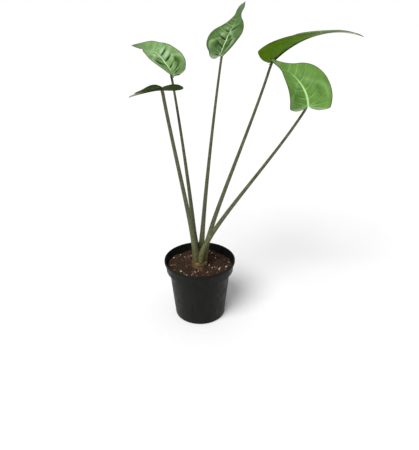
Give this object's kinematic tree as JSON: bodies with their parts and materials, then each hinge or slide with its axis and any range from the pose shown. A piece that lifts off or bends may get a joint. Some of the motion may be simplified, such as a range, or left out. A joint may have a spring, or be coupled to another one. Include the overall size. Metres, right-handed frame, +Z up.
{
  "type": "alocasia stingray in a nursery pot",
  "caption": "Potted aroid house plant: green tailed arrow-shaped blades on tall dark mottled stalks, rising from a stem in soil in a black nursery pot.",
  "frame": {"origin": "centre of the pot's flat base, on the surface that the pot stands on", "axes": "+Z up, -Y towards the front, from which the picture is taken, +X to the right in that view"},
  "size_m": [0.3937, 0.2296, 0.5412],
  "materials": {
    "pot_plastic": "satin",
    "soil": "matte",
    "stem_skin": "matte",
    "stalk_skin": "satin",
    "leaf_green": "satin"
  },
  "bodies": {
    "root": {"nursery_pot": "pot_plastic", "potting_soil": "soil", "stem": "stem_skin", "petiole_left": "stalk_skin", "petiole_left_low": "stalk_skin", "petiole_middle": "stalk_skin", "petiole_right": "stalk_skin", "petiole_right_low": "stalk_skin", "blade_left": "leaf_green", "blade_left_low": "leaf_green", "blade_middle": "leaf_green", "blade_right": "leaf_green", "blade_right_low": "leaf_green"}
  },
  "joints": []
}
